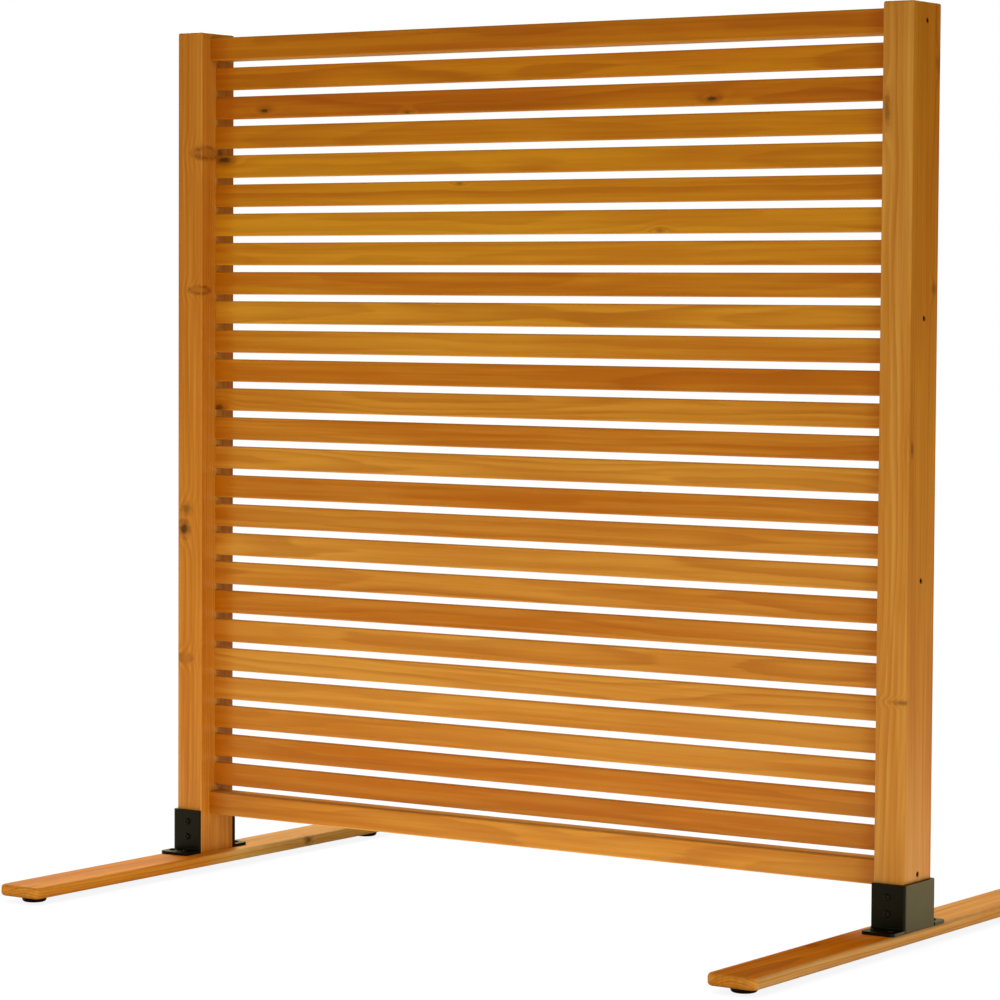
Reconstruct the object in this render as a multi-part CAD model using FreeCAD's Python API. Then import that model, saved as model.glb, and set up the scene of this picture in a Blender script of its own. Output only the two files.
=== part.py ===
import FreeCAD, Part

import math
import os

# Free-standing garden privacy screen, in millimetres.
# Two posts carry a top rail, a bottom rail and a field of thin battens between them.
# Each post stands in a three-sided steel shoe on a foot board with a levelling glide near each end.
# Origin: on the ground, at the middle of the screen. +X runs along the screen, -Y is its front.

# ---- driving dimensions -------------------------------------------------------------------------
clear_width = 1316.0          # between the two posts
post_height = 1414.0          # over the foot boards
post_width = 52.5             # along X
post_depth = 89.0             # along Y
post_edge = 3.0               # eased edge
post_above_rail = 8.5         # post top over the top rail

slat_count = 25
slat_height = 38.5
slat_thickness = 13.0
slat_edge = 2.5

rail_height = 39.0
rail_depth = 42.0
rail_edge = 3.0
rail_above_foot = 66.0        # underside of the bottom rail over the foot board

housing_depth = 10.0          # how far slats and rails are let into the posts
housing_clearance = 0.2
screwed_slats = (9, 17)       # counted from the top: these and both rails are screwed

foot_length = 1000.0
foot_width = 84.0
foot_thickness = 19.0
foot_edge = 6.0               # round over along the board
foot_corner = 12.0            # corner radius in plan

shoe_height = 74.0
shoe_wall = 5.0
shoe_corner = 6.0             # outer corner between walls
shoe_flange = 36.0            # base flange beyond the wall
shoe_flange_corner = 8.0
shoe_weld = 3.0               # fillet between wall and flange
shoe_clearance = 0.5          # between steel and post

wall_screw_rise = 41.0        # middle of the two wall screws, over the foot board
wall_screw_pitch = 26.0
wall_screw_head = 11.0
wall_screw_head_height = 3.0
wall_screw_shank = 6.0
wall_screw_length = 34.0
wall_screw_socket = 4.0

flange_screw_pitch = 30.0
flange_screw_head = 9.0
flange_screw_head_height = 2.6
flange_screw_shank = 5.0
flange_screw_length = 18.0
flange_screw_socket = 3.0

frame_screw_head = 9.0
frame_screw_recess = 1.5      # head below the post's face
frame_screw_shank = 5.0
frame_screw_length = 80.0
frame_screw_socket = 3.0

screw_clearance = 0.05        # radial, shank in wood
hole_clearance = 0.4          # radial, shank in steel
screw_tip = 5.0
socket_depth = 1.6
head_crown = 0.4              # chamfer of a low head, as a share of its height

glide_inset = 41.0            # glide axis from the end of the foot board
pad_diameter = 40.0
pad_height = 9.5
pad_round = 5.0               # rounded lower rim
pad_rim = 1.0                 # chamfer of the upper rim
pad_gap = 1.0                 # between pad and foot board as set in use

stem_diameter = 8.0
stem_in_board = 14.0
stem_head = 14.0              # across corners of the hexagon held in the pad
stem_head_height = 4.0
stem_head_rise = 2.0          # plastic under the stem's head
stem_point = 1.0
stem_clearance = 0.08         # radial running clearance in the insert

insert_diameter = 12.0
insert_length = 14.0
insert_flange = 18.0
insert_flange_thickness = 1.2
insert_clearance = 0.05
bore_past_insert = 2.0        # room over the stem in the board

# ---- derived sizes ------------------------------------------------------------------------------
foot_bottom = pad_height + pad_gap
foot_top = foot_bottom + foot_thickness
post_top = foot_top + post_height
bottom_rail_z = foot_top + rail_above_foot
top_rail_z = post_top - post_above_rail - rail_height
slat_field = top_rail_z - bottom_rail_z - rail_height
slat_gap = (slat_field - slat_count * slat_height) / (slat_count + 1)
slat_pitch = slat_height + slat_gap
first_slat_z = bottom_rail_z + rail_height + slat_gap
member_length = clear_width + 2 * (housing_depth - housing_clearance)

post_inner_x = clear_width / 2
post_outer_x = post_inner_x + post_width
post_x = post_inner_x + post_width / 2
shoe_inside_x = post_outer_x + shoe_clearance
shoe_outside_x = shoe_inside_x + shoe_wall
shoe_inside_y = post_depth / 2 + shoe_clearance
shoe_outside_y = shoe_inside_y + shoe_wall
shoe_width = shoe_outside_x - post_inner_x
foot_x = shoe_outside_x - foot_width / 2
glide_y = foot_length / 2 - glide_inset
flange_screw_y = shoe_outside_y + (shoe_flange + shoe_weld) / 2
flange_screw_x = post_inner_x + shoe_width / 2

up = FreeCAD.Vector(0, 0, 1)
along_x = FreeCAD.Vector(1, 0, 0)
along_y = FreeCAD.Vector(0, 1, 0)
nowhere = FreeCAD.Vector(0, 0, 0)


# ---- helpers ------------------------------------------------------------------------------------
def edges_along(shape, direction):
    """The straight edges of a shape that run along a direction."""
    found = []
    for edge in shape.Edges:
        start = edge.Vertexes[0].Point
        end = edge.Vertexes[-1].Point
        run = end - start
        if run.Length > 1e-6 and run.cross(direction).Length < 1e-6 * run.Length:
            found.append(edge)
    return found


def centred_box(size_x, size_y, size_z, x=0.0, y=0.0, z=0.0):
    """A box centred on x and y, standing on z."""
    corner = FreeCAD.Vector(x - size_x / 2, y - size_y / 2, z)
    return Part.makeBox(size_x, size_y, size_z, corner)


def eased_bar(length, depth, height, radius, z):
    """A bar along X with its four long edges rounded."""
    bar = centred_box(length, depth, height, z=z)
    return bar.makeFillet(radius, edges_along(bar, along_x))


def hexagon(across_corners, height):
    """A hexagonal prism on the Z axis, standing on z = 0."""
    corners = []
    for step in range(7):
        angle = math.radians(60 * step)
        radius = across_corners / 2
        corners.append(FreeCAD.Vector(radius * math.cos(angle), radius * math.sin(angle), 0))
    face = Part.Face(Part.makePolygon(corners))
    return face.extrude(up * height)


def placed(shape, point, axis):
    """A copy of a shape made on +Z, turned to point along axis and moved to a point."""
    copy = shape.copy()
    turn = FreeCAD.Rotation(up, axis)
    copy.Placement = FreeCAD.Placement(point, turn)
    return copy


def mirrored(shape):
    """The right-hand piece of a left-hand one."""
    return shape.mirror(nowhere, along_x)


def shank(diameter, length):
    """A screw's shank from z = 0 down to its point."""
    radius = diameter / 2
    straight = Part.makeCylinder(radius, length - screw_tip, FreeCAD.Vector(0, 0, screw_tip - length))
    point = Part.makeCone(radius * 0.2, radius, screw_tip, FreeCAD.Vector(0, 0, -length))
    return straight.fuse(point)


def pan_screw(head_diameter, head_height, shank_diameter, length, socket):
    """A low-head screw whose head sits on z = 0 and whose shank goes down."""
    head = Part.makeCylinder(head_diameter / 2, head_height)
    crown = [edge for edge in head.Edges if edge.BoundBox.ZMin > head_height / 2]
    head = head.makeChamfer(head_height * head_crown, crown)
    key = hexagon(socket * 2 / math.sqrt(3), socket_depth)
    key.translate(up * (head_height - socket_depth))
    return head.cut(key).fuse(shank(shank_diameter, length)).removeSplitter()


def flush_screw(head_diameter, shank_diameter, length, socket):
    """A countersunk screw whose flat head lies at z = 0 and whose shank goes down."""
    head_height = (head_diameter - shank_diameter) / 2
    head = Part.makeCone(shank_diameter / 2, head_diameter / 2, head_height)
    head.translate(up * -head_height)
    key = hexagon(socket * 2 / math.sqrt(3), socket_depth)
    key.translate(up * -socket_depth)
    body = head.fuse(shank(shank_diameter, length))
    return body.cut(key).removeSplitter()


def flush_hole(length):
    """The hole that a frame screw fills, with its recess and countersink, along -Z from z = 0."""
    head_radius = frame_screw_head / 2 + screw_clearance
    bore_radius = frame_screw_shank / 2 + screw_clearance
    cone_height = head_radius - bore_radius
    top = -frame_screw_recess
    recess = Part.makeCylinder(head_radius, frame_screw_recess, FreeCAD.Vector(0, 0, top))
    cone = Part.makeCone(bore_radius, head_radius, cone_height)
    cone.translate(up * (top - cone_height))
    bore = Part.makeCylinder(bore_radius, length, FreeCAD.Vector(0, 0, top - length))
    return recess.fuse([cone, bore])


def straight_hole(radius, depth):
    """A plain hole from z = 0 down to a depth."""
    return Part.makeCylinder(radius, depth, FreeCAD.Vector(0, 0, -depth))


# ---- places that more than one piece uses -------------------------------------------------------
def slat_z(number):
    """Underside of a slat, counted from the top."""
    return first_slat_z + (slat_count - number) * slat_pitch


def screwed_levels():
    """Heights of the frame screws: the middle of both rails and of the screwed slats."""
    levels = [bottom_rail_z + rail_height / 2, top_rail_z + rail_height / 2]
    for number in screwed_slats:
        levels.append(slat_z(number) + slat_height / 2)
    return levels


def wall_screw_places():
    """Point on the shoe's outside and outward direction of each screw through its walls."""
    places = []
    for side in (-1, 1):
        for step in (-0.5, 0.5):
            height = foot_top + wall_screw_rise + step * wall_screw_pitch
            point = FreeCAD.Vector(-post_x, side * shoe_outside_y, height)
            places.append((point, along_y * side))
    return places


def flange_screw_places():
    """Point on top of the shoe's flanges of each screw into the foot board."""
    places = []
    for side in (-1, 1):
        for step in (-0.5, 0.5):
            x = -flange_screw_x + step * flange_screw_pitch
            places.append(FreeCAD.Vector(x, side * flange_screw_y, foot_top + shoe_wall))
    return places


# ---- pieces -------------------------------------------------------------------------------------
def member_screw_holes(member, height):
    """A slat or rail with the screws' pilot holes in both ends."""
    past_post = frame_screw_recess + frame_screw_length - post_width + screw_clearance
    depth = past_post + housing_depth
    for side in (-1, 1):
        mouth = FreeCAD.Vector(side * (post_inner_x + housing_depth), 0, height)
        hole = straight_hole(frame_screw_shank / 2 + screw_clearance, depth)
        member = member.cut(placed(hole, mouth, along_x * side))
    return member


def slat(number):
    z = slat_z(number)
    batten = eased_bar(member_length, slat_thickness, slat_height, slat_edge, z)
    if number in screwed_slats:
        batten = member_screw_holes(batten, z + slat_height / 2)
    return batten


def rail(z):
    bar = eased_bar(member_length, rail_depth, rail_height, rail_edge, z)
    return member_screw_holes(bar, z + rail_height / 2)


def housing(depth, height, radius, z):
    """The pocket in the left post for one slat or rail."""
    grow = housing_clearance
    pocket = eased_bar(2 * housing_depth, depth + 2 * grow, height + 2 * grow, radius + grow, z - grow)
    pocket.translate(FreeCAD.Vector(-post_inner_x, 0, 0))
    return pocket


def left_post():
    post = centred_box(post_width, post_depth, post_height, x=-post_x, z=foot_top)
    middle = foot_top + post_height / 2
    top_edges = [edge for edge in post.Edges if edge.BoundBox.ZMin > middle]
    post = post.makeFillet(post_edge, edges_along(post, up) + top_edges)
    cuts = [housing(slat_thickness, slat_height, slat_edge, slat_z(n)) for n in range(1, slat_count + 1)]
    for z in (bottom_rail_z, top_rail_z):
        cuts.append(housing(rail_depth, rail_height, rail_edge, z))
    for height in screwed_levels():
        mouth = FreeCAD.Vector(-post_outer_x, 0, height)
        cuts.append(placed(flush_hole(post_width), mouth, -along_x))
    pilot_depth = wall_screw_length - shoe_wall - shoe_clearance + screw_clearance
    pilot = straight_hole(wall_screw_shank / 2 + screw_clearance, pilot_depth)
    for point, outward in wall_screw_places():
        mouth = point - outward * (shoe_wall + shoe_clearance)
        cuts.append(placed(pilot, mouth, outward))
    return post.cut(cuts)


def shoe_plan(corner_x, corner_y, radius):
    """Outline of the shoe seen from above: open towards the screen, round at the two far corners."""
    west = -corner_x
    east = -post_inner_x
    bend = radius * (1 - math.sqrt(0.5))
    front_start = FreeCAD.Vector(east, -corner_y, 0)
    front_end = FreeCAD.Vector(west + radius, -corner_y, 0)
    front_mid = FreeCAD.Vector(west + bend, -corner_y + bend, 0)
    side_start = FreeCAD.Vector(west, -corner_y + radius, 0)
    side_end = FreeCAD.Vector(west, corner_y - radius, 0)
    back_mid = FreeCAD.Vector(west + bend, corner_y - bend, 0)
    back_start = FreeCAD.Vector(west + radius, corner_y, 0)
    back_end = FreeCAD.Vector(east, corner_y, 0)
    edges = [
        Part.LineSegment(front_start, front_end).toShape(),
        Part.Arc(front_end, front_mid, side_start).toShape(),
        Part.LineSegment(side_start, side_end).toShape(),
        Part.Arc(side_end, back_mid, back_start).toShape(),
        Part.LineSegment(back_start, back_end).toShape(),
        Part.LineSegment(back_end, front_start).toShape(),
    ]
    return Part.Face(Part.Wire(edges))


def flange_plate(side):
    """The shoe's base flange in front or behind, with round outer corners."""
    depth = shoe_wall + shoe_flange
    y = side * (shoe_inside_y + depth / 2)
    plate = centred_box(shoe_width, depth, shoe_wall, x=-flange_screw_x, y=y)
    outer = [edge for edge in edges_along(plate, up) if side * edge.CenterOfMass.y > shoe_outside_y]
    plate = plate.makeFillet(shoe_flange_corner, outer)
    corner_x = -shoe_outside_x + shoe_corner / 2
    corner_y = side * (shoe_outside_y - shoe_corner / 2)
    return plate.cut(centred_box(shoe_corner, shoe_corner, shoe_wall, corner_x, corner_y))


def flange_weld(side):
    """The hollow fillet weld between a flange and its wall."""
    length = shoe_width - shoe_corner
    x = -post_inner_x - length / 2
    bead = centred_box(length, shoe_weld, shoe_weld, x, side * (shoe_outside_y + shoe_weld / 2), shoe_wall)
    start = FreeCAD.Vector(-post_inner_x - length, side * (shoe_outside_y + shoe_weld), shoe_wall + shoe_weld)
    return bead.cut(Part.makeCylinder(shoe_weld, length, start, along_x))


def left_shoe():
    outside = shoe_plan(shoe_outside_x, shoe_outside_y, shoe_corner).extrude(up * shoe_height)
    inside = shoe_plan(shoe_inside_x, shoe_inside_y, shoe_corner - shoe_wall).extrude(up * shoe_height)
    walls = outside.cut(inside)
    shoe = walls.fuse([flange_plate(-1), flange_plate(1), flange_weld(-1), flange_weld(1)])
    shoe.translate(up * foot_top)
    holes = []
    wall_hole = straight_hole(wall_screw_shank / 2 + hole_clearance, shoe_wall + shoe_clearance)
    for point, outward in wall_screw_places():
        holes.append(placed(wall_hole, point, outward))
    flange_hole = straight_hole(flange_screw_shank / 2 + hole_clearance, shoe_wall)
    for point in flange_screw_places():
        holes.append(placed(flange_hole, point, up))
    return shoe.removeSplitter().cut(holes)


def left_foot():
    board = centred_box(foot_width, foot_length, foot_thickness, x=-foot_x, z=foot_bottom)
    board = board.makeFillet(foot_corner, edges_along(board, up))
    rims = []
    for edge in board.Edges:
        if edge.BoundBox.ZLength < foot_thickness / 2:
            rims.append(edge)
    board = board.makeFillet(foot_edge, rims)
    cuts = []
    pilot_depth = flange_screw_length - shoe_wall + screw_clearance
    pilot = straight_hole(flange_screw_shank / 2 + screw_clearance, pilot_depth)
    for point in flange_screw_places():
        cuts.append(placed(pilot, point - up * shoe_wall, up))
    for side in (-1, 1):
        base = FreeCAD.Vector(-foot_x, side * glide_y, foot_bottom)
        radius = insert_diameter / 2 + insert_clearance
        cuts.append(Part.makeCylinder(radius, insert_length + bore_past_insert, base))
        flange_radius = insert_flange / 2 + insert_clearance
        cuts.append(Part.makeCylinder(flange_radius, insert_flange_thickness, base))
    return board.cut(cuts)


def left_inserts():
    """The two flanged threaded inserts let into the underside of the left foot board."""
    solids = []
    for side in (-1, 1):
        base = FreeCAD.Vector(-foot_x, side * glide_y, foot_bottom)
        sleeve = Part.makeCylinder(insert_diameter / 2, insert_length, base)
        flange = Part.makeCylinder(insert_flange / 2, insert_flange_thickness, base)
        bore = Part.makeCylinder(stem_diameter / 2 + stem_clearance, insert_length, base)
        solids.append(sleeve.fuse(flange).removeSplitter().cut(bore))
    return Part.makeCompound(solids)


def left_frame_screws():
    screw = flush_screw(frame_screw_head, frame_screw_shank, frame_screw_length, frame_screw_socket)
    seat = -post_outer_x + frame_screw_recess
    screws = [placed(screw, FreeCAD.Vector(seat, 0, height), -along_x) for height in screwed_levels()]
    return Part.makeCompound(screws)


def left_wall_screws():
    screw = pan_screw(wall_screw_head, wall_screw_head_height, wall_screw_shank,
                      wall_screw_length, wall_screw_socket)
    return Part.makeCompound([placed(screw, point, outward) for point, outward in wall_screw_places()])


def left_flange_screws():
    screw = pan_screw(flange_screw_head, flange_screw_head_height, flange_screw_shank,
                      flange_screw_length, flange_screw_socket)
    return Part.makeCompound([placed(screw, point, up) for point in flange_screw_places()])


def glide_pad():
    """Round pad with a rolled lower rim, turned about Z, with the seat of the stem's head."""
    radius = pad_diameter / 2
    bend = pad_round * (1 - math.sqrt(0.5))
    floor_centre = FreeCAD.Vector(0, 0, 0)
    floor_edge = FreeCAD.Vector(radius - pad_round, 0, 0)
    roll_mid = FreeCAD.Vector(radius - bend, 0, bend)
    roll_end = FreeCAD.Vector(radius, 0, pad_round)
    rim = FreeCAD.Vector(radius, 0, pad_height - pad_rim)
    top_edge = FreeCAD.Vector(radius - pad_rim, 0, pad_height)
    top_centre = FreeCAD.Vector(0, 0, pad_height)
    outline = Part.Wire([
        Part.LineSegment(floor_centre, floor_edge).toShape(),
        Part.Arc(floor_edge, roll_mid, roll_end).toShape(),
        Part.LineSegment(roll_end, rim).toShape(),
        Part.LineSegment(rim, top_edge).toShape(),
        Part.LineSegment(top_edge, top_centre).toShape(),
        Part.LineSegment(top_centre, floor_centre).toShape(),
    ])
    pad = Part.Face(outline).revolve(nowhere, up, 360)
    grow = insert_clearance
    seat = hexagon(stem_head + 2 * grow, stem_head_height + grow)
    seat.translate(up * stem_head_rise)
    bore = Part.makeCylinder(stem_diameter / 2 + grow, pad_height, up * stem_head_rise)
    return pad.cut([seat, bore])


def glide_stem():
    """Threaded stem at its mean diameter, with the hexagonal head that the pad grips."""
    top = foot_bottom + stem_in_board
    head = hexagon(stem_head, stem_head_height)
    head.translate(up * stem_head_rise)
    straight = Part.makeCylinder(stem_diameter / 2, top - stem_point - stem_head_rise, up * stem_head_rise)
    point = Part.makeCone(stem_diameter / 2, stem_diameter / 2 - stem_point, stem_point)
    point.translate(up * (top - stem_point))
    return head.fuse([straight, point]).removeSplitter()


# ---- the screen ---------------------------------------------------------------------------------
os.makedirs("parts", exist_ok=True)

pieces = {"top_rail": rail(top_rail_z), "bottom_rail": rail(bottom_rail_z)}
for slat_number in range(1, slat_count + 1):
    pieces["slat_%02d" % slat_number] = slat(slat_number)

handed = {
    "post": left_post(),
    "shoe": left_shoe(),
    "foot": left_foot(),
    "glide_inserts": left_inserts(),
    "frame_screws": left_frame_screws(),
    "wall_screws": left_wall_screws(),
    "flange_screws": left_flange_screws(),
}
for name, shape in handed.items():
    pieces["left_" + name] = shape
    pieces["right_" + name] = mirrored(shape)

for hand, side_x in (("left", -1), ("right", 1)):
    for end, side_y in (("front", -1), ("back", 1)):
        spot = FreeCAD.Vector(side_x * foot_x, side_y * glide_y, 0)
        for name, shape in (("pad", glide_pad()), ("stem", glide_stem())):
            shape.translate(spot)
            pieces["%s_%s_glide_%s" % (hand, end, name)] = shape

for name, shape in pieces.items():
    shape.exportStep("parts/%s.step" % name)
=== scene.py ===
import math

import bpy
from mathutils import Euler, Matrix, Vector


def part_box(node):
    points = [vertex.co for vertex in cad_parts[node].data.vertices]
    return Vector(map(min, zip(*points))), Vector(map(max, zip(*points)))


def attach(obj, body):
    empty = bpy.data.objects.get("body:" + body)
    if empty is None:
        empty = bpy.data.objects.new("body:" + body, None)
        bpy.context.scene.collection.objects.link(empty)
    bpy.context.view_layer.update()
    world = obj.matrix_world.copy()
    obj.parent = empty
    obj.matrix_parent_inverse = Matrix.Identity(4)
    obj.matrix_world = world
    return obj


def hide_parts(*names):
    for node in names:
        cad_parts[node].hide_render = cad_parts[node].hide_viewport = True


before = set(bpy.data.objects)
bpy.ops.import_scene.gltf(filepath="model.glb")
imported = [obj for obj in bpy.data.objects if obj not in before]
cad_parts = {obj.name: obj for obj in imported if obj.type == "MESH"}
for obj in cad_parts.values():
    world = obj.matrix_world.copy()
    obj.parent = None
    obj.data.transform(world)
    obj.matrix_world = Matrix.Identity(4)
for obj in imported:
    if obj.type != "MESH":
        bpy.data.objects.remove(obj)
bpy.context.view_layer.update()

# Garden privacy screen, in metres. X runs along the screen, -Y is its front, Z is up.

# ---- sizes taken from the frame -------------------------------------------------------------------
slat_low, slat_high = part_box("slat_25")
next_low, next_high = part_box("slat_24")
post_low, post_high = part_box("right_post")
foot_low, foot_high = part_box("right_foot")
shoe_low, shoe_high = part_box("right_shoe")
stem_low, stem_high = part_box("right_front_glide_stem")

slat_pitch = next_low.z - slat_low.z
slat_middle_z = (slat_low.z + slat_high.z) / 2
slat_half_height = (slat_high.z - slat_low.z) / 2
slat_half_thickness = (slat_high.y - slat_low.y) / 2
post_x = (post_low.x + post_high.x) / 2
post_half_width = (post_high.x - post_low.x) / 2
post_half_depth = (post_high.y - post_low.y) / 2
foot_x = (foot_low.x + foot_high.x) / 2
foot_half_width = (foot_high.x - foot_low.x) / 2
foot_middle_z = (foot_low.z + foot_high.z) / 2
foot_half_thickness = (foot_high.z - foot_low.z) / 2
shoe_outer_x = shoe_high.x


# ---- node helpers ---------------------------------------------------------------------------------
def feed(tree, socket, value):
    """Join an output to an input, or set the input's own value."""
    if isinstance(value, bpy.types.NodeSocket):
        tree.links.new(value, socket)
    else:
        socket.default_value = value


def maths(tree, work, first, second=0.0, third=0.0, clamp=False):
    node = tree.nodes.new("ShaderNodeMath")
    node.operation = work
    node.use_clamp = clamp
    for socket, value in zip(node.inputs, (first, second, third)):
        feed(tree, socket, value)
    return node.outputs[0]


def vector_maths(tree, work, first, second=(0.0, 0.0, 0.0)):
    node = tree.nodes.new("ShaderNodeVectorMath")
    node.operation = work
    feed(tree, node.inputs[0], first)
    feed(tree, node.inputs[1], second)
    return node.outputs["Value" if work in ("LENGTH", "DISTANCE") else "Vector"]


def apart(tree, place):
    """The x, y and z of a place."""
    node = tree.nodes.new("ShaderNodeSeparateXYZ")
    feed(tree, node.inputs[0], place)
    return node.outputs


def together(tree, x, y, z):
    node = tree.nodes.new("ShaderNodeCombineXYZ")
    for socket, value in zip(node.inputs, (x, y, z)):
        feed(tree, socket, value)
    return node.outputs[0]


def noise(tree, place, scale=1.0, detail=2.0, roughness=0.5):
    node = tree.nodes.new("ShaderNodeTexNoise")
    feed(tree, node.inputs["Vector"], place)
    feed(tree, node.inputs["Scale"], scale)
    node.inputs["Detail"].default_value = detail
    node.inputs["Roughness"].default_value = roughness
    return node.outputs["Fac"]


def chance(tree, number):
    """Three chance values that belong to a number."""
    node = tree.nodes.new("ShaderNodeTexWhiteNoise")
    node.noise_dimensions = "1D"
    feed(tree, node.inputs["W"], number)
    return apart(tree, node.outputs["Color"])


def between(tree, value, low, high, to_low=0.0, to_high=1.0):
    """A smooth step from one value to another."""
    node = tree.nodes.new("ShaderNodeMapRange")
    node.interpolation_type = "SMOOTHSTEP"
    for label, given in (("Value", value), ("From Min", low), ("From Max", high)):
        feed(tree, node.inputs[label], given)
    feed(tree, node.inputs["To Min"], to_low)
    feed(tree, node.inputs["To Max"], to_high)
    return node.outputs[0]


def mixed(tree, share, first, second):
    """Two colours mixed."""
    node = tree.nodes.new("ShaderNodeMix")
    node.data_type = "RGBA"
    node.clamp_factor = True
    feed(tree, node.inputs[0], share)
    feed(tree, node.inputs[6], first)
    feed(tree, node.inputs[7], second)
    return node.outputs[2]


def new_group(name, inputs, outputs):
    """A shader node group and its own start and end sockets."""
    group = bpy.data.node_groups.new(name, "ShaderNodeTree")
    for label, kind in inputs:
        group.interface.new_socket(name=label, in_out="INPUT", socket_type="NodeSocket" + kind)
    for label, kind in outputs:
        group.interface.new_socket(name=label, in_out="OUTPUT", socket_type="NodeSocket" + kind)
    start = group.nodes.new("NodeGroupInput")
    end = group.nodes.new("NodeGroupOutput")
    return group, start.outputs, end.inputs


def use(tree, group, **given):
    """Place a group in a material and feed it. Returns its outputs."""
    node = tree.nodes.new("ShaderNodeGroup")
    node.node_tree = group
    for label, value in given.items():
        feed(tree, node.inputs[label.replace("_", " ").title()], value)
    return node.outputs


def new_material(name):
    material = bpy.data.materials.new(name)
    material.use_nodes = True
    tree = material.node_tree
    shader = tree.nodes["Principled BSDF"]
    place = tree.nodes.new("ShaderNodeTexCoord").outputs["Object"]
    return material, tree, shader, place


def size_of(tree, value):
    """A number without its sign."""
    return maths(tree, "ABSOLUTE", value)


def rgb(red, green, blue):
    """A colour from its values on a screen, 0 to 255."""
    values = []
    for level in (red, green, blue):
        level = level / 255
        values.append(level / 12.92 if level <= 0.04045 else ((level + 0.055) / 1.055) ** 2.4)
    return (values[0], values[1], values[2], 1.0)


# ---- shared finishes ------------------------------------------------------------------------------
def growth_rings():
    """Softwood round a wandering pith. Place has its x along the grain."""
    inputs = [("Place", "Vector"), ("Pith", "Vector"), ("Ring Width", "Float"), ("Wander", "Float"),
              ("Bend", "Float")]
    outputs = [("Late Wood", "Float"), ("Fibre", "Float"), ("Streak", "Float"), ("Cloud", "Float")]
    tree, given, result = new_group("Growth Rings", inputs, outputs)
    place = given["Place"]
    slow = noise(tree, vector_maths(tree, "MULTIPLY", place, (1.1, 5.0, 5.0)), detail=2.0)
    slow = maths(tree, "MULTIPLY", maths(tree, "SUBTRACT", slow, 0.5), given["Wander"])
    fine = noise(tree, vector_maths(tree, "MULTIPLY", place, (5.0, 60.0, 60.0)), detail=3.0)
    fine = maths(tree, "MULTIPLY", maths(tree, "SUBTRACT", fine, 0.5), 0.9)
    across = vector_maths(tree, "SUBTRACT", place, given["Pith"])
    across = vector_maths(tree, "MULTIPLY", across, (0.0, 1.0, 1.0))
    from_pith = maths(tree, "ADD", vector_maths(tree, "LENGTH", across), slow)
    from_pith = maths(tree, "ADD", from_pith, given["Bend"])
    count = maths(tree, "ADD", maths(tree, "DIVIDE", from_pith, given["Ring Width"]), fine)
    year = maths(tree, "FLOOR", count)
    season = maths(tree, "FRACT", count)
    strength = maths(tree, "MULTIPLY_ADD", chance(tree, year)[0], 0.75, 0.25)
    late = maths(tree, "MULTIPLY", between(tree, season, 0.1, 0.84), between(tree, season, 1.0, 0.86))
    feed(tree, result["Late Wood"], maths(tree, "MULTIPLY", late, strength))
    fibre = vector_maths(tree, "MULTIPLY", place, (16.0, 900.0, 900.0))
    fibre = noise(tree, fibre, detail=3.0, roughness=0.6)
    feed(tree, result["Fibre"], fibre)
    streak = vector_maths(tree, "MULTIPLY", place, (2.2, 110.0, 110.0))
    streak = noise(tree, streak, detail=3.0, roughness=0.55)
    feed(tree, result["Streak"], streak)
    cloud = noise(tree, vector_maths(tree, "MULTIPLY", place, (2.0, 12.0, 12.0)), detail=3.0)
    feed(tree, result["Cloud"], cloud)
    return tree


def branch_knot():
    """A grown-in knot: its dark core, the ring round it, and how far the grain swings past it."""
    inputs = [("Place", "Vector"), ("Centre", "Vector"), ("Reach", "Vector")]
    outputs = [("Core", "Float"), ("Ring", "Float"), ("Bend", "Float")]
    tree, given, result = new_group("Branch Knot", inputs, outputs)
    away = vector_maths(tree, "DIVIDE", vector_maths(tree, "SUBTRACT", given["Place"], given["Centre"]),
                        given["Reach"])
    far = vector_maths(tree, "LENGTH", away)
    rough = noise(tree, given["Place"], scale=160.0, detail=3.0)
    far = maths(tree, "ADD", far, maths(tree, "MULTIPLY", maths(tree, "SUBTRACT", rough, 0.5), 0.7))
    feed(tree, result["Core"], between(tree, far, 1.1, 0.40))
    ring = maths(tree, "MULTIPLY", between(tree, far, 0.45, 1.1), between(tree, far, 1.95, 1.0))
    broken = between(tree, noise(tree, given["Place"], scale=70.0, detail=2.0), 0.36, 0.62, 0.35, 1.0)
    ring = maths(tree, "MULTIPLY", ring, broken)
    feed(tree, result["Ring"], ring)
    fall = maths(tree, "MULTIPLY", maths(tree, "MULTIPLY", far, far), -0.16)
    feed(tree, result["Bend"], maths(tree, "EXPONENT", fall))
    return tree


def eased_edge():
    """Where a square bar is near one of its long edges. Across is measured from its middle line."""
    inputs = [("Across", "Vector"), ("Half Size", "Vector"), ("Width", "Float")]
    tree, given, result = new_group("Eased Edge", inputs, [("Edge", "Float")])
    size = vector_maths(tree, "ABSOLUTE", given["Across"])
    inside = apart(tree, vector_maths(tree, "SUBTRACT", given["Half Size"], size))
    near_first = between(tree, inside[1], given["Width"], 0.0)
    near_second = between(tree, inside[2], given["Width"], 0.0)
    ragged = between(tree, noise(tree, given["Across"], scale=55.0, detail=4.0), 0.3, 0.75)
    edge = maths(tree, "MULTIPLY", near_first, near_second)
    feed(tree, result["Edge"], maths(tree, "MULTIPLY", edge, maths(tree, "MULTIPLY_ADD", ragged, 0.6, 0.4)))
    return tree


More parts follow.
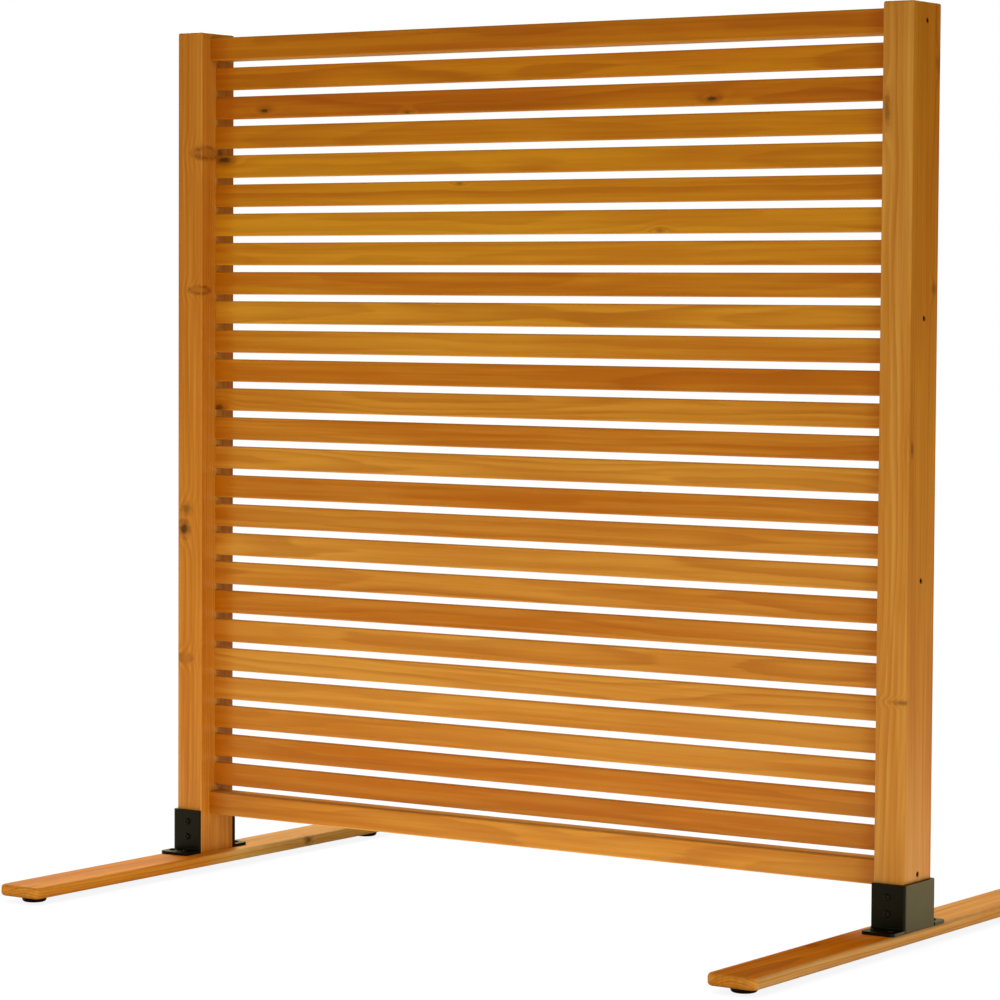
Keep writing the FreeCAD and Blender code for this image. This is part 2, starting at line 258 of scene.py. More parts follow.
def coat_texture():
    """The small waves and specks of sprayed or moulded black."""
    inputs = [("Place", "Vector"), ("Grain Size", "Float")]
    outputs = [("Wave", "Float"), ("Speck", "Float"), ("Handling", "Float")]
    tree, given, result = new_group("Coat Texture", inputs, outputs)
    each = maths(tree, "DIVIDE", 1.0, given["Grain Size"])
    feed(tree, result["Wave"], noise(tree, given["Place"], scale=each, detail=2.0))
    cells = tree.nodes.new("ShaderNodeTexVoronoi")
    feed(tree, cells.inputs["Vector"], given["Place"])
    feed(tree, cells.inputs["Scale"], maths(tree, "MULTIPLY", each, 1.6))
    feed(tree, result["Speck"], between(tree, cells.outputs["Distance"], 0.16, 0.05))
    feed(tree, result["Handling"], noise(tree, given["Place"], scale=28.0, detail=4.0, roughness=0.6))
    return tree


rings_group = growth_rings()
knot_group = branch_knot()
edge_group = eased_edge()
coat_group = coat_texture()


# ---- timber ---------------------------------------------------------------------------------------
slat_stains = (rgb(211, 146, 60), rgb(184, 103, 5), rgb(213, 155, 76))     # light, deep, worn edge with a painted highlight
foot_stains = (rgb(232, 160, 76), rgb(200, 112, 14), rgb(232, 178, 112))
late_stain = rgb(152, 74, 3)
knot_brown = rgb(40, 13, 2)
knot_red = rgb(118, 50, 6)
streak_share = 0.42           # how much streaks and clouds deepen the stain
cloud_share = 0.4
late_share = 0.42             # how strongly late wood, fibres and worn edges with their painted highlight show
fibre_share = 0.10
wear_and_highlight_share = 0.35
ring_wander = 0.034
knot_swing = 0.006            # how far a knot pushes the rings aside
grain_relief = 0.00016


def timber(name, along, across, half_size, pith, tone, tint, knots, stains, ring_width, edge_width,
           sheen, matt, dry_top):
    """A stained softwood.

    along gives a place with the grain on x, across the place in the bar's section. tone deepens the stain
    (for the slats it also paints shade near the posts), and tint multiplies its colour with painted light and
    shade. dry_top is added to the roughness of the faces that look up.
    """
    light_stain, deep_stain, wear_and_highlight_stain = stains
    material, tree, shader, place = new_material(name)
    grain_place = along(tree, place)
    bend = 0.0
    core = 0.0
    ring = 0.0
    for centre, reach, darkness, rim in knots:
        knot = use(tree, knot_group, place=place, centre=centre, reach=reach)
        bend = maths(tree, "MULTIPLY_ADD", knot["Bend"], knot_swing, bend)
        core = maths(tree, "MAXIMUM", core, maths(tree, "MULTIPLY", knot["Core"], darkness))
        ring = maths(tree, "MAXIMUM", ring, maths(tree, "MULTIPLY", knot["Ring"], rim))
    rings = use(tree, rings_group, place=grain_place, pith=pith(tree, place), ring_width=ring_width,
                wander=ring_wander, bend=bend)
    streak = between(tree, rings["Streak"], 0.32, 0.68)
    cloud = between(tree, rings["Cloud"], 0.3, 0.7)
    depth = maths(tree, "MULTIPLY_ADD", streak, streak_share, maths(tree, "MULTIPLY", cloud, cloud_share))
    # tone may hold painted shade: the slats near the posts
    depth = maths(tree, "ADD", depth, tone(tree, place), clamp=True)
    colour = mixed(tree, depth, light_stain, deep_stain)
    colour = mixed(tree, maths(tree, "MULTIPLY", rings["Late Wood"], late_share), colour, late_stain)
    fibre = between(tree, rings["Fibre"], 0.35, 0.72)
    colour = mixed(tree, maths(tree, "MULTIPLY", fibre, fibre_share), colour, late_stain)
    section = across(tree, place)
    edge = use(tree, edge_group, across=section, half_size=half_size, width=edge_width)["Edge"]
    # paler eased edges: partly wear, partly a painted highlight
    colour = mixed(tree, maths(tree, "MULTIPLY", edge, wear_and_highlight_share), colour, wear_and_highlight_stain)
    # tint paints light and shade by height and by face
    colour = vector_maths(tree, "MULTIPLY", colour, tint(tree, place))
    colour = mixed(tree, ring, colour, knot_red)
    colour = mixed(tree, core, colour, knot_brown)
    feed(tree, shader.inputs["Base Color"], colour)
    rough = maths(tree, "MULTIPLY_ADD", fibre, 0.08, matt)
    rough = maths(tree, "MULTIPLY_ADD", rings["Cloud"], 0.10, rough)
    rough = maths(tree, "MULTIPLY_ADD", rings["Late Wood"], -0.07, rough)
    top = between(tree, apart(tree, section)["Z"], half_size[2] - 0.0008, half_size[2] - 0.0003)
    rough = maths(tree, "MULTIPLY_ADD", top, dry_top, rough)
    feed(tree, shader.inputs["Roughness"], rough)
    height = maths(tree, "MULTIPLY_ADD", rings["Late Wood"], 0.5, maths(tree, "MULTIPLY", fibre, -0.35))
    height = maths(tree, "MULTIPLY_ADD", core, -0.5, height)
    bump = tree.nodes.new("ShaderNodeBump")
    bump.inputs["Strength"].default_value = 0.5
    bump.inputs["Distance"].default_value = grain_relief
    feed(tree, bump.inputs["Height"], height)
    feed(tree, shader.inputs["Normal"], bump.outputs["Normal"])
    shader.inputs["Specular IOR Level"].default_value = sheen
    return material


log_x, log_y, log_z = 37.0, 11.0, 7.0    # how far apart in the timber two slats may come from
deep_slats = (2, 8, 11, 13, 15, 19, 24, 25)    # counted from the top, where the top rail is 0
pale_slats = (4, 6, 9, 14, 17, 21)
slat_count = 25
shade_start_x = 0.606         # painted shade darkens the slats toward the posts between these
shade_full_x = 0.640


def slat_level(tree, place):
    """Number of the slat or rail that a place is in: 0 is the lowest slat."""
    height = maths(tree, "SUBTRACT", apart(tree, place)["Z"], slat_middle_z - slat_pitch / 2)
    return maths(tree, "FLOOR", maths(tree, "DIVIDE", height, slat_pitch))


def slat_section(tree, place):
    """A place as seen from the middle line of its own slat."""
    x, y, z = apart(tree, place)
    middle = maths(tree, "MULTIPLY_ADD", slat_level(tree, place), slat_pitch, slat_middle_z)
    return together(tree, x, y, maths(tree, "SUBTRACT", z, middle))


def slat_along(tree, place):
    """Each slat is cut from a place of its own in the log."""
    luck = chance(tree, slat_level(tree, place))
    x, y, z = apart(tree, slat_section(tree, place))
    return together(tree, maths(tree, "MULTIPLY_ADD", luck[0], log_x, x),
                    maths(tree, "MULTIPLY_ADD", luck[1], log_y, y),
                    maths(tree, "MULTIPLY_ADD", luck[2], log_z, z))


def slat_pith(tree, place):
    """The pith lies a little outside each slat, at a chance distance."""
    luck = chance(tree, slat_level(tree, place))
    y = maths(tree, "MULTIPLY_ADD", luck[1], log_y, maths(tree, "MULTIPLY_ADD", luck[2], 0.09, 0.025))
    z = maths(tree, "MULTIPLY_ADD", luck[2], log_z, maths(tree, "MULTIPLY_ADD", luck[0], 0.05, -0.025))
    return together(tree, 0.0, y, z)


def slat_tone(tree, place):
    """Slats differ: some took the stain deeply, some hardly. Next to the posts they get a painted shade."""
    number = maths(tree, "SUBTRACT", slat_count, slat_level(tree, place))
    tone = maths(tree, "MULTIPLY_ADD", chance(tree, maths(tree, "ADD", number, 0.5))[0], 0.10, -0.05)
    for names, change in ((deep_slats, 0.32), (pale_slats, -0.24)):
        for name in names:
            tone = maths(tree, "MULTIPLY_ADD", maths(tree, "COMPARE", number, name, 0.5), change, tone)
    # painted shade: the slats darken as they near the posts
    painted_post_shade = between(tree, size_of(tree, apart(tree, place)["X"]), shade_start_x, shade_full_x)
    return maths(tree, "MULTIPLY_ADD", painted_post_shade, 0.36, tone)


def slat_painted_reflection_tint(tree, place):
    """Painted floor reflection: the colour is darker and less blue at the top, and paler and bluer toward the
    ground.
    """
    height = apart(tree, place)["Z"]
    red = between(tree, height, 1.05, 1.40, 0.98, 0.90)
    green = between(tree, height, 1.05, 1.40, 1.02, 0.80)
    blue = between(tree, height, 0.45, 1.40, 1.10, 0.10)
    return together(tree, red, green, blue)


post_log_z, post_log_x = 5.3, 2.1    # how far apart in the timber the two posts come from
foot_log_y, foot_log_x = 3.7, 1.3    # the same for the two foot boards
no_tint = (1.0, 1.0, 1.0, 1.0)


def side_of(tree, place):
    """0 on the left half of the screen, 1 on the right half."""
    return maths(tree, "GREATER_THAN", apart(tree, place)["X"], 0.0)


def post_section(tree, place):
    x, y, z = apart(tree, place)
    return together(tree, z, maths(tree, "SUBTRACT", size_of(tree, x), post_x), y)


def post_along(tree, place):
    x, y, z = apart(tree, place)
    side = side_of(tree, place)
    return together(tree, maths(tree, "MULTIPLY_ADD", side, post_log_z, z),
                    maths(tree, "MULTIPLY_ADD", side, post_log_x, x), y)


def post_pith(tree, place):
    side = side_of(tree, place)
    across = maths(tree, "MULTIPLY_ADD", side, post_log_x + 2 * post_x, -post_x - 0.055)
    return together(tree, 0.0, across, 0.062)


def post_tone(tree, place):
    return maths(tree, "MULTIPLY_ADD", side_of(tree, place), -0.04, 0.0)


def post_painted_light_tint(tree, place):
    """Painted light and shade by face: the front of the right post is painted paler and bluer; the outer
    faces get a painted shade, with more blue toward the ground.
    """
    x, y, z = apart(tree, place)
    # painted light: the front face of the right post is made paler and bluer
    front = maths(tree, "MULTIPLY", between(tree, y, -0.037, -0.043), side_of(tree, place))
    tint = mixed(tree, front, no_tint, (0.97, 1.08, 1.50, 1.0))
    # painted shade on the outer faces, varying with height
    outer = between(tree, size_of(tree, x), 0.707, 0.713)
    red = between(tree, z, 0.30, 1.10, 0.79, 0.87)
    green = between(tree, z, 0.30, 1.10, 0.73, 0.79)
    painted_outer_shade = together(tree, red, green, between(tree, z, 0.12, 0.75, 0.56, 0.03))
    return mixed(tree, outer, tint, painted_outer_shade)


def foot_section(tree, place):
    x, y, z = apart(tree, place)
    return together(tree, y, maths(tree, "SUBTRACT", size_of(tree, x), foot_x),
                    maths(tree, "SUBTRACT", z, foot_middle_z))


def foot_along(tree, place):
    x, y, z = apart(tree, place)
    side = side_of(tree, place)
    return together(tree, maths(tree, "MULTIPLY_ADD", side, foot_log_y, y),
                    maths(tree, "MULTIPLY_ADD", side, foot_log_x, x), z)


def foot_pith(tree, place):
    side = side_of(tree, place)
    across = maths(tree, "MULTIPLY_ADD", side, foot_log_x + 2 * foot_x, -foot_x + 0.012)
    return together(tree, 0.0, across, -0.05)


def foot_tone(tree, place):
    return -0.05


def foot_painted_light_tint(tree, place):
    """Painted light and shade: the tops get a painted shade at the front and painted light behind, the long
    sides are painted paler, but darker at the front of the left foot, and the ends keep the plain stain.
    """
    x, y, z = apart(tree, place)
    right = side_of(tree, place)
    behind = between(tree, y, -0.10, 0.10)
    # painted shade on the front half of the tops, painted light on the back half
    painted_front_top_shade = mixed(tree, right, (1.05, 0.87, 0.14, 1.0), (1.26, 0.98, 0.06, 1.0))
    top = mixed(tree, behind, painted_front_top_shade, (1.15, 1.32, 1.60, 1.0))
    # painted light and shade on the long sides
    left_side_light_and_shade = mixed(tree, behind, (0.85, 0.82, 0.50, 1.0), (1.14, 1.85, 3.60, 1.0))
    edge = mixed(tree, right, left_side_light_and_shade, (1.0, 1.27, 2.60, 1.0))
    from_middle = size_of(tree, maths(tree, "SUBTRACT", size_of(tree, x), foot_x))
    on_edge = between(tree, from_middle, foot_half_width - 0.006, foot_half_width - 0.001)
    tint = mixed(tree, on_edge, top, edge)
    on_end = between(tree, size_of(tree, y), foot_high.y - 0.008, foot_high.y - 0.001)
    return mixed(tree, on_end, tint, (0.98, 1.0, 0.95, 1.0))


# A knot: its middle, how far it reaches, how dark its core is and how strong the ring round it.
slat_knots = [
    ((-0.639, 0.0, 1.2265), (0.019, 0.03, 0.0070), 0.85, 0.55),
    ((-0.552, 0.0, 1.309), (0.011, 0.03, 0.0042), 0.85, 0.35),
    ((-0.252, 0.0, 1.299), (0.008, 0.03, 0.0030), 0.55, 0.25),
    ((0.335, 0.0, 1.307), (0.013, 0.03, 0.0045), 0.85, 0.40),
    ((0.241, 0.0, 1.101), (0.008, 0.03, 0.0035), 0.45, 0.30),
    ((-0.146, 0.0, 1.180), (0.008, 0.03, 0.0030), 0.45, 0.25),
    ((-0.650, 0.0, 0.801), (0.013, 0.03, 0.0065), 0.75, 0.50),
]
post_knots = [
    ((-0.658, -0.030, 1.238), (0.017, 0.027, 0.0085), 0.22, 0.85),
    ((-0.662, -0.044, 1.003), (0.017, 0.017, 0.0055), 0.15, 0.80),
    ((-0.690, -0.044, 0.626), (0.010, 0.010, 0.0090), 0.50, 0.45),
    ((-0.696, -0.044, 0.591), (0.010, 0.010, 0.0120), 0.85, 0.60),
    ((-0.694, -0.044, 0.368), (0.013, 0.010, 0.0070), 0.20, 0.50),
    ((0.712, -0.034, 0.766), (0.008, 0.004, 0.0090), 0.60, 0.50),
    ((0.706, -0.046, 0.382), (0.018, 0.008, 0.0030), 0.55, 0.40),
    ((0.712, 0.040, 1.352), (0.008, 0.008, 0.0120), 0.50, 0.50),
    ((0.666, -0.046, 1.279), (0.004, 0.008, 0.0220), 0.45, 0.50),
    ((0.712, 0.030, 1.010), (0.006, 0.006, 0.0080), 0.50, 0.40),
]
foot_knots = [
    ((-0.632, 0.229, 0.022), (0.012, 0.010, 0.0060), 0.65, 0.50),
    ((0.650, -0.215, 0.030), (0.006, 0.012, 0.0080), 0.30, 0.40),
]

slat_timber = timber("Stained Slat Timber", slat_along, slat_section,
                     (1.0, slat_half_thickness, slat_half_height), slat_pith, slat_tone, slat_painted_reflection_tint,
                     slat_knots, slat_stains, ring_width=0.0042, edge_width=0.0035, sheen=0.26, matt=0.36,
                     dry_top=0.60)
post_timber = timber("Stained Post Timber", post_along, post_section,
                     (1.0, post_half_width, post_half_depth), post_pith, post_tone, post_painted_light_tint,
                     post_knots, slat_stains, ring_width=0.0046, edge_width=0.004, sheen=0.30, matt=0.34,
                     dry_top=0.0)
foot_timber = timber("Stained Foot Timber", foot_along, foot_section,
                     (1.0, foot_half_width, foot_half_thickness), foot_pith, foot_tone, foot_painted_light_tint,
                     foot_knots, foot_stains, ring_width=0.0044, edge_width=0.009, sheen=0.07, matt=0.50,
                     dry_top=0.0)


# ---- metal and plastic ----------------------------------------------------------------------------
coat_relief = 0.00012


def black_coat(name, colour, worn, grain_size, wave, roughness, metallic, sheen, painted_reflection=None):
    """Black paint or plastic. The last argument is a paler colour painted on the shoes' outer faces as a
    reflection.
    """
    material, tree, shader, place = new_material(name)
    coat = use(tree, coat_group, place=place, grain_size=grain_size)
    handled = between(tree, coat["Handling"], 0.45, 0.75)
    tint = mixed(tree, maths(tree, "MULTIPLY", handled, 0.5), colour, worn)
    tint = mixed(tree, maths(tree, "MULTIPLY", coat["Speck"], 0.25), tint, worn)
    # painted reflection on the shoes' outer faces; thickness sets its strength patch by patch
    if painted_reflection:
        from_middle = size_of(tree, apart(tree, place)["X"])
        outer = between(tree, from_middle, shoe_outer_x - 0.0010, shoe_outer_x - 0.0003)
        thickness = between(tree, coat["Handling"], 0.25, 0.70, 0.75, 1.0)
        tint = mixed(tree, maths(tree, "MULTIPLY", outer, thickness), tint, painted_reflection)
    feed(tree, shader.inputs["Base Color"], tint)
    feed(tree, shader.inputs["Roughness"], maths(tree, "MULTIPLY_ADD", handled, 0.12, roughness))
    shader.inputs["Metallic"].default_value = metallic
    shader.inputs["Specular IOR Level"].default_value = sheen
    bump = tree.nodes.new("ShaderNodeBump")
    bump.inputs["Strength"].default_value = wave
    bump.inputs["Distance"].default_value = coat_relief
    feed(tree, bump.inputs["Height"], coat["Wave"])
    feed(tree, shader.inputs["Normal"], bump.outputs["Normal"])
    return material


# the shoes' outer faces carry a painted reflection
powder_coat = black_coat("Black Powder Coat", rgb(8, 7, 5), rgb(26, 23, 19), grain_size=0.0011, wave=0.55,
                         roughness=0.42, metallic=0.0, sheen=0.12, painted_reflection=rgb(76, 68, 54))
black_oxide = black_coat("Black Oxide Screws", rgb(13, 12, 11), rgb(40, 37, 32), grain_size=0.0006, wave=0.25,
                         roughness=0.36, metallic=0.2, sheen=0.14)
glide_nylon = black_coat("Black Nylon Glides", rgb(14, 14, 14), rgb(36, 36, 36), grain_size=0.0007, wave=0.35,
                         roughness=0.5, metallic=0.0, sheen=0.2)


def zinc_plate():
    material, tree, shader, place = new_material("Zinc Plated Steel")
    coat = use(tree, coat_group, place=place, grain_size=0.0009)
    tint = mixed(tree, coat["Handling"], rgb(196, 198, 196), rgb(170, 168, 158))
    tint = mixed(tree, maths(tree, "MULTIPLY", coat["Speck"], 0.3), tint, rgb(120, 118, 112))
    feed(tree, shader.inputs["Base Color"], tint)
    feed(tree, shader.inputs["Roughness"], maths(tree, "MULTIPLY_ADD", coat["Handling"], 0.2, 0.24))
    shader.inputs["Metallic"].default_value = 1.0
    return material


zinc = zinc_plate()

finishes = {
    "slat_wood": slat_timber,
    "post_wood": post_timber,
    "foot_wood": foot_timber,
    "black_steel": powder_coat,
    "black_screws": black_oxide,
    "glide_plastic": glide_nylon,
    "zinc_steel": zinc,
}
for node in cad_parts.values():
    for socket in node.material_slots:
        socket.material = finishes[socket.material.name.split(".")[0]]


# ---- screws and glide stems -----------------------------------------------------------------------
wall_screw = {
    "head_radius": 0.0055,
    "head_height": 0.0030,
    "shank_radius": 0.0030,
    "length": 0.034,
    "socket_across": 0.0040,
    "socket_depth": 0.0016,
}
flange_screw = {
    "head_radius": 0.0045,
    "head_height": 0.0026,
    "shank_radius": 0.0025,
    "length": 0.018,
    "socket_across": 0.0030,
    "socket_depth": 0.0014,
}
head_corners = 48
head_rim = 0.22               # share of a head's height that is a plain cylinder
dome_arc = 58                 # degrees
dome_steps = 7
dome_flat = 0.42              # share of a head's radius that the arc leaves to the flat top
shank_parts = ((0.82, 1.0), (0.10, 0.72), (0.08, 0.15))    # share of the length, and narrowing, of each part


def enter_edit(select):
    bpy.ops.object.mode_set(mode="EDIT")
    bpy.ops.mesh.select_all(action=select)


def only_faces(piece, wanted):
    """Back in edit mode with just the faces that a test picks."""
    bpy.ops.object.mode_set(mode="EDIT")
    bpy.ops.mesh.select_mode(type="FACE")
    bpy.ops.mesh.select_all(action="DESELECT")
    bpy.ops.object.mode_set(mode="OBJECT")
    for face in piece.data.polygons:
        face.select = wanted(face)
    bpy.ops.object.mode_set(mode="EDIT")


def pull(distance, scale=1.0):
    """Extrude the picked faces along Z and scale them in plan."""
    bpy.ops.mesh.extrude_region_move(TRANSFORM_OT_translate={"value": (0.0, 0.0, distance)})
    bpy.ops.transform.resize(value=(scale, scale, 1.0), center_override=(0.0, 0.0, 0.0))


def close_shape(piece, angle):
    """Turn the faces outward and smooth all edges below an angle, in degrees."""
    enter_edit("SELECT")
    bpy.ops.mesh.normals_make_consistent(inside=False)
    bpy.ops.object.mode_set(mode="OBJECT")
    bpy.ops.object.shade_smooth_by_angle(angle=math.radians(angle))


def button_screw(name, head_radius, head_height, shank_radius, length, socket_across, socket_depth):
    """A screw with a domed head and a hexagon socket. Its head stands on Z = 0 and its shank goes down."""
    bpy.ops.object.select_all(action="DESELECT")
    bpy.ops.mesh.primitive_circle_add(vertices=head_corners, radius=head_radius, fill_type="NGON")
    screw = bpy.context.object
    screw.name = name
    enter_edit("SELECT")
    radius = head_radius
    rise = head_height * head_rim
    pull(rise)
    for step in range(1, dome_steps + 1):
        turn = math.radians(step * dome_arc / dome_steps)
        climbed = math.sin(turn) / math.sin(math.radians(dome_arc))
        next_radius = head_radius * (dome_flat + (1 - dome_flat) * math.cos(turn))
        next_rise = head_height * (head_rim + (1 - head_rim) * climbed)
        pull(next_rise - rise, next_radius / radius)
        radius = next_radius
        rise = next_rise
    only_faces(screw, lambda face: face.center.z < head_height * 0.01 and face.area > head_radius ** 2)
    bpy.ops.mesh.inset(thickness=head_radius - shank_radius)
    for share, narrowing in shank_parts:
        pull(-length * share, narrowing)
    bpy.ops.object.mode_set(mode="OBJECT")
    bpy.ops.mesh.primitive_cylinder_add(vertices=6, radius=socket_across / math.sqrt(3),
                                        depth=socket_depth * 2, location=(0.0, 0.0, head_height))
    key = bpy.context.object
    bpy.ops.object.select_all(action="DESELECT")
    screw.select_set(True)
    bpy.context.view_layer.objects.active = screw
    cut = screw.modifiers.new("Socket", "BOOLEAN")
    cut.operation = "DIFFERENCE"
    cut.solver = "EXACT"
    cut.object = key
    bpy.ops.object.modifier_apply(modifier=cut.name)
    bpy.data.objects.remove(key)
    close_shape(screw, 32)
    return screw


def set_of(pattern, name, places, node, finish):
    """Copies of a screw at its places, as one piece that stands for a CAD node."""
    copies = []
    for point, turn in places:
        copy = pattern.copy()
        copy.data = pattern.data.copy()
        bpy.context.collection.objects.link(copy)
        copy.matrix_world = Matrix.Translation(point) @ turn
        copies.append(copy)
    bpy.ops.object.select_all(action="DESELECT")
    for copy in copies:
        copy.select_set(True)
    bpy.context.view_layer.objects.active = copies[0]
    bpy.ops.object.join()
    piece = bpy.context.object
    bpy.ops.object.transform_apply(location=True, rotation=True, scale=True)
    piece.name = name
    piece.data.materials.clear()
    piece.data.materials.append(finish)
    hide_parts(node)
    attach(piece, "screen")


wall_pattern = button_screw("wall_screw", **wall_screw)
flange_pattern = button_screw("flange_screw", **flange_screw)
wall_edge = wall_screw["head_radius"]
flange_edge = flange_screw["head_radius"]
for side in ("left", "right"):
    wall_low, wall_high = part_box(side + "_wall_screws")
    head_x = (wall_low.x + wall_high.x) / 2
    head_y = wall_high.y - wall_screw["head_height"]
    places = []
    for rise in (wall_low.z + wall_edge, wall_high.z - wall_edge):
        for way in (-1.0, 1.0):
            turn = Matrix.Rotation(math.radians(-90.0 * way), 4, "X")
            places.append((Vector((head_x, way * head_y, rise)), turn))
    set_of(wall_pattern, side + "_wall_button_screws", places, side + "_wall_screws", black_oxide)
    flange_low, flange_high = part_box(side + "_flange_screws")
    head_z = flange_high.z - flange_screw["head_height"]
    places = []
    for x in (flange_low.x + flange_edge, flange_high.x - flange_edge):
        for y in (flange_low.y + flange_edge, flange_high.y - flange_edge):
            turn = Matrix.Rotation(x * 9.0 + y * 5.0, 4, "Z")    # no two sockets stand alike
            places.append((Vector((x, y, head_z)), turn))
    set_of(flange_pattern, side + "_flange_button_screws", places, side + "_flange_screws", black_oxide)
bpy.data.objects.remove(wall_pattern)
bpy.data.objects.remove(flange_pattern)


thread_crest = 0.0040         # radius of the stem over its thread
thread_depth = 0.00065
thread_pitch = 0.00125
thread_profile = ((0.0, 0.16), (1.0, 0.36), (0.0, 0.12), (-1.0, 0.36))    # steps outward and up of one turn
thread_corners = 36
stem_head_height = 0.004
stem_head_bevel = 0.0004
merge_distance = 0.00002
cut_tolerance = 0.0000005


def threaded_stem(name, low, high, head_radius):
    """A rod with a rolled thread on the Z axis, from low to high, with a hexagon head under it."""
    bpy.ops.object.select_all(action="DESELECT")
    bpy.ops.mesh.primitive_plane_add(size=0.001)
    stem = bpy.context.object
    stem.name = name
    enter_edit("SELECT")
    bpy.ops.mesh.select_mode(type="VERT")
    bpy.ops.mesh.select_all(action="SELECT")
    bpy.ops.mesh.merge(type="CENTER")
    bpy.ops.transform.translate(value=(thread_crest - thread_depth, 0.0, low - 2 * thread_pitch))
    turns = int((high - low) / thread_pitch) + 4
    for turn in range(turns):
        for outward, upward in thread_profile:
            step = (outward * thread_depth, 0.0, upward * thread_pitch)
            bpy.ops.mesh.extrude_region_move(TRANSFORM_OT_translate={"value": step})
    bpy.ops.object.mode_set(mode="OBJECT")
    wind = stem.modifiers.new("Thread", "SCREW")
    wind.angle = math.radians(360)
    wind.screw_offset = thread_pitch
    wind.steps = thread_corners
    wind.render_steps = thread_corners
    wind.iterations = 1
    wind.use_merge_vertices = True
    wind.merge_threshold = merge_distance
    bpy.ops.object.modifier_apply(modifier=wind.name)
    for height, upward in ((low, -1.0), (high, 1.0)):
        enter_edit("SELECT")
        bpy.ops.mesh.remove_doubles(threshold=merge_distance)
        bpy.ops.mesh.bisect(plane_co=(0.0, 0.0, height), plane_no=(0.0, 0.0, upward), use_fill=True,
                            clear_outer=True, threshold=cut_tolerance)
        bpy.ops.object.mode_set(mode="OBJECT")
    enter_edit("DESELECT")
    bpy.ops.mesh.primitive_cylinder_add(vertices=6, radius=head_radius, depth=stem_head_height,
                                        location=(0.0, 0.0, low - stem_head_height / 2),
                                        rotation=(0.0, 0.0, math.radians(30)))
    bpy.ops.mesh.bevel(offset=stem_head_bevel, segments=2)
    bpy.ops.object.mode_set(mode="OBJECT")
    close_shape(stem, 25)
    return stem


stem_pattern = threaded_stem("stem_pattern", stem_low.z + stem_head_height, stem_high.z,
                             (stem_high.x - stem_low.x) / 2)
for node_name in sorted(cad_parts):
    if not node_name.endswith("_glide_stem"):
        continue
    low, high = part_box(node_name)
    body_name = node_name[:-len("_stem")]
    stem = stem_pattern.copy()
    stem.data = stem_pattern.data.copy()
    bpy.context.collection.objects.link(stem)
    stem.location = ((low.x + high.x) / 2, (low.y + high.y) / 2, 0.0)
    bpy.ops.object.select_all(action="DESELECT")
    stem.select_set(True)
    bpy.context.view_layer.objects.active = stem
    bpy.ops.object.transform_apply(location=True, rotation=True, scale=True)
    stem.name = body_name + "_threaded_stem"
    stem.data.materials.clear()
    stem.data.materials.append(zinc)
    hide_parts(node_name)
    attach(stem, body_name)
bpy.data.objects.remove(stem_pattern)


# ---- studio ---------------------------------------------------------------------------------------
lamp_white = (1.0, 0.92, 0.58, 1.0)


def studio_floor(glow, glow_reach, back_share):
    """A white floor that glows in front and at the back right, and shades a little under the screen."""
    bpy.ops.object.select_all(action="DESELECT")
    bpy.ops.mesh.primitive_plane_add(size=40.0, location=(0.0, 0.0, 0.0))
    floor = bpy.context.object
    floor.name = "Studio Floor"
    material, tree, shader, place = new_material("White Floor")
    shader.inputs["Base Color"].default_value = (0.82, 0.82, 0.82, 1.0)
    shader.inputs["Roughness"].default_value = 0.9
    x, y, z = apart(tree, place)
    pool = between(tree, vector_maths(tree, "LENGTH", place), glow_reach, glow_reach * 0.25)
    right_back = maths(tree, "MULTIPLY", between(tree, x, 0.5, 0.9), back_share)
    in_front = between(tree, y, 0.15, -0.15)
    pool = maths(tree, "MULTIPLY", pool, maths(tree, "MAXIMUM", in_front, right_back))
    # painted shade: the floor's glow fades out beside the feet, though not in front of them
    off_foot = size_of(tree, maths(tree, "SUBTRACT", size_of(tree, x), foot_x))
    clear = maths(tree, "MAXIMUM", between(tree, off_foot, 0.03, 0.16), between(tree, y, -0.5, -0.7))
    pool = maths(tree, "MULTIPLY", pool, clear)
    shader.inputs["Emission Color"].default_value = lamp_white
    feed(tree, shader.inputs["Emission Strength"], maths(tree, "MULTIPLY", pool, glow))
    corner = tree.nodes.new("ShaderNodeAmbientOcclusion")
    corner.inputs["Distance"].default_value = 0.16
    seen = tree.nodes.new("ShaderNodeEmission")
    feed(tree, seen.inputs["Strength"], between(tree, corner.outputs["AO"], 0.0, 0.9, 0.90, 1.02))
    path = tree.nodes.new("ShaderNodeLightPath")
    either = tree.nodes.new("ShaderNodeMixShader")
    feed(tree, either.inputs[0], path.outputs["Is Camera Ray"])
    feed(tree, either.inputs[1], shader.outputs[0])
    feed(tree, either.inputs[2], seen.outputs[0])
    feed(tree, tree.nodes["Material Output"].inputs["Surface"], either.outputs[0])
    floor.data.materials.append(material)


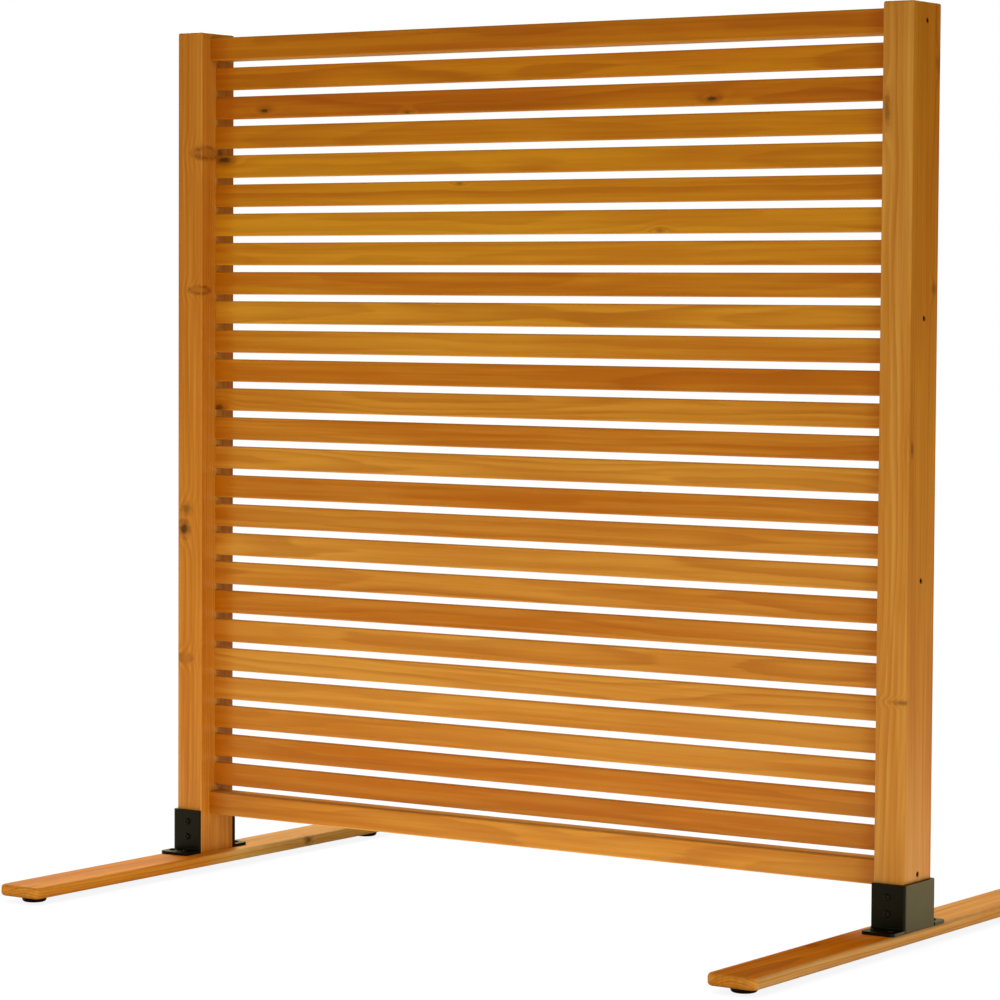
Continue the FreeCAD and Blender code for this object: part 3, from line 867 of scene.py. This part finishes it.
def studio_walls(front_left, front_right, back_left, back_right):
    """White behind the screen for the camera. Light comes from low walls, each with a strength of its own."""
    world = bpy.data.worlds.new("Studio")
    bpy.context.scene.world = world
    world.use_nodes = True
    tree = world.node_tree
    room = tree.nodes["Background"]
    room.inputs["Color"].default_value = lamp_white
    x, y, z = apart(tree, tree.nodes.new("ShaderNodeTexCoord").outputs["Generated"])
    to_right = between(tree, x, -0.25, 0.25)
    front = maths(tree, "MULTIPLY_ADD", to_right, front_right - front_left, front_left)
    back = maths(tree, "MULTIPLY_ADD", to_right, back_right - back_left, back_left)
    to_back = between(tree, y, -0.25, 0.25)
    strength = maths(tree, "MULTIPLY_ADD", maths(tree, "SUBTRACT", back, front), to_back, front)
    foot_of_wall = maths(tree, "MULTIPLY_ADD", to_back, 0.16, 0.08)
    full_wall = maths(tree, "ADD", foot_of_wall, 0.18)
    band = maths(tree, "MULTIPLY", between(tree, z, foot_of_wall, full_wall), between(tree, z, 0.72, 0.5))
    feed(tree, room.inputs["Strength"], maths(tree, "MULTIPLY", strength, band))
    white = tree.nodes.new("ShaderNodeBackground")
    white.inputs["Color"].default_value = (1.0, 1.0, 1.0, 1.0)
    white.inputs["Strength"].default_value = 1.0
    path = tree.nodes.new("ShaderNodeLightPath")
    either = tree.nodes.new("ShaderNodeMixShader")
    feed(tree, either.inputs[0], path.outputs["Is Camera Ray"])
    feed(tree, either.inputs[1], room.outputs[0])
    feed(tree, either.inputs[2], white.outputs[0])
    feed(tree, tree.nodes["World Output"].inputs["Surface"], either.outputs[0])


def softbox(name, place, target, width, height, brightness):
    """A flat panel of light of an even brightness, aimed at a point."""
    light = bpy.data.lights.new(name, "AREA")
    light.shape = "RECTANGLE"
    light.size = width
    light.size_y = height
    light.energy = brightness * width * height * math.pi
    light.color = lamp_white[:3]
    lamp = bpy.data.objects.new(name, light)
    lamp.location = place
    aim = Vector(target) - Vector(place)
    lamp.rotation_euler = aim.to_track_quat("-Z", "Y").to_euler()
    lamp.visible_camera = False
    bpy.context.collection.objects.link(lamp)


studio_floor(glow=1.3, glow_reach=3.4, back_share=1.2)
studio_walls(front_left=0.7, front_right=2.1, back_left=3.8, back_right=0.2)
softbox("Back Left Softbox", (-3.2, 3.0, 3.4), (0.0, 0.0, 0.0), width=2.6, height=2.6, brightness=6.5)


# ---- camera ---------------------------------------------------------------------------------------
camera_place = (3.3233, -4.9880, 0.9936)
camera_turn = 34.20           # degrees to the left of the screen's own depth
camera_drop = 3.153           # degrees down
camera_roll = 0.324           # degrees
camera_lens = 132.44          # mm
sensor_width = 36.0           # mm

camera_data = bpy.data.cameras.new("Camera")
camera_data.sensor_fit = "HORIZONTAL"
camera_data.sensor_width = sensor_width
camera_data.lens = camera_lens
camera = bpy.data.objects.new("Camera", camera_data)
aim = Euler((math.radians(90 - camera_drop), 0.0, math.radians(camera_turn))).to_matrix()
aim = aim @ Matrix.Rotation(math.radians(camera_roll), 3, "Z")
camera.matrix_world = Matrix.Translation(camera_place) @ aim.to_4x4()
bpy.context.collection.objects.link(camera)
bpy.context.scene.camera = camera
bpy.context.scene.view_settings.view_transform = "Standard"
bpy.context.scene.view_settings.look = "None"
